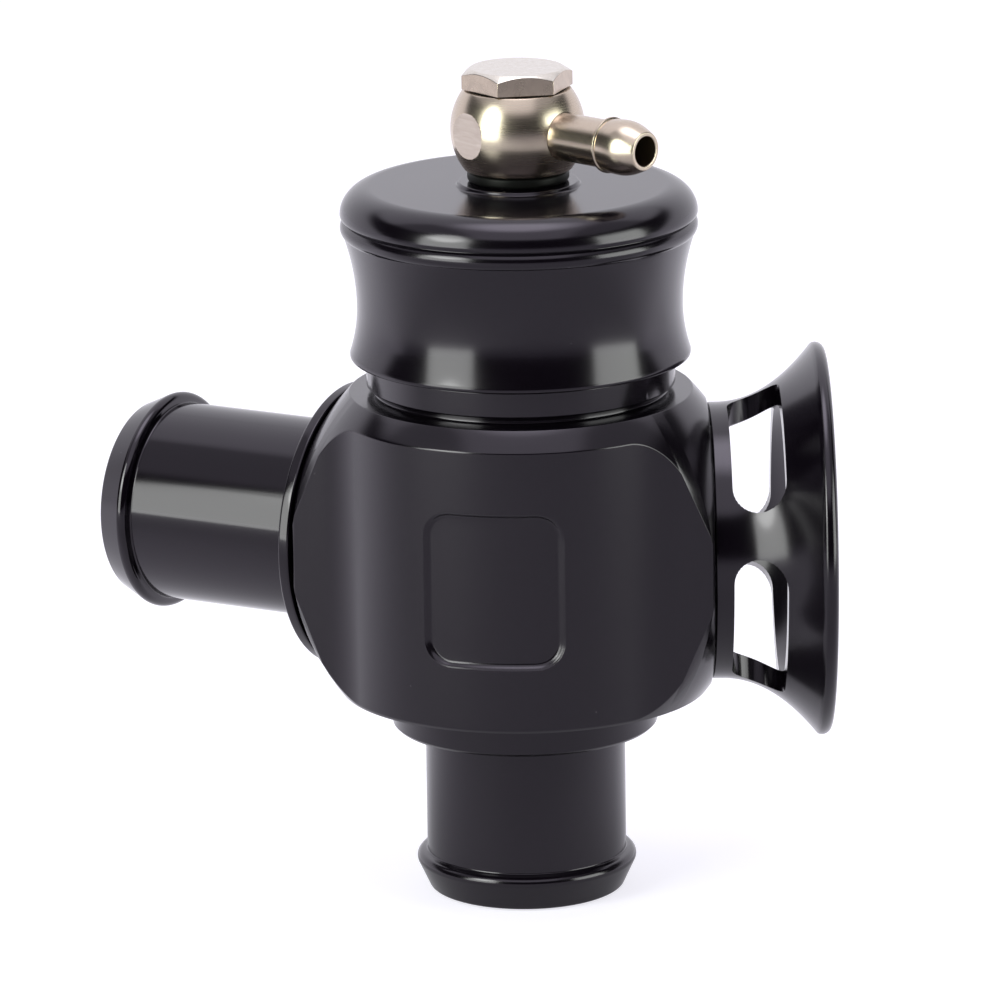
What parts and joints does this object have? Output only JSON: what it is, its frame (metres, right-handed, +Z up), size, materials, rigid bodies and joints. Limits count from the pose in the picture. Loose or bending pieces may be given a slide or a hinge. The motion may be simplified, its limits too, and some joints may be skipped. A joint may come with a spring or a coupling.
{
  "type": "blow off valve",
  "caption": "Vacuum-operated blow off valve with a spring-loaded piston, a hose port below, a recirculation port at the side, an open trumpet and a swivelling banjo fitting.",
  "frame": {"origin": "centre of the open end of the inlet hose pipe, on the valve's axis", "axes": "+Z up along the valve's axis to the cap, +X out through the trumpet; the recirculation pipe leaves 150 degrees round from +X towards +Y"},
  "size_m": [0.0909, 0.062, 0.1046],
  "materials": {
    "shell": "black anodised, satin on the milled panels and smoother on the turned faces",
    "piston": "turned, bare",
    "bearing_band": "matte",
    "seal": "matte",
    "spring": "drawn wire, plain",
    "banjo": "nickel plate, warm and bright"
  },
  "bodies": {
    "body": {"valve_body": "shell", "top_cap": "shell", "cap_o_ring": "seal", "inlet_fitting": "shell", "inlet_o_ring": "seal", "recirculation_fitting": "shell", "recirculation_o_ring": "seal", "trumpet": "shell", "trumpet_o_ring": "seal", "main_spring": "spring", "banjo_bolt": "banjo", "banjo_upper_washer": "seal", "banjo_lower_washer": "seal"},
    "piston_assembly": {"piston": "piston", "piston_upper_band": "bearing_band", "piston_lower_band": "bearing_band", "piston_o_ring": "seal", "piston_nose_seal": "seal", "spring_seat_washer": "spring"},
    "banjo": {"banjo_ring": "banjo", "banjo_hose_tail": "banjo"}
  },
  "joints": [
    {"name": "piston_lift", "type": "slide", "parent": "body", "child": "piston_assembly", "axis": [0, 0, 1], "range_m": [0, 0.012], "stiffness_N_per_m": 1500, "springref_m": -0.02, "deforming": ["main_spring"]},
    {"name": "banjo_swivel", "type": "hinge", "parent": "body", "child": "banjo", "pos_m": [0, 0, 0.09694], "axis": [0, 0, 1], "continuous": true}
  ]
}
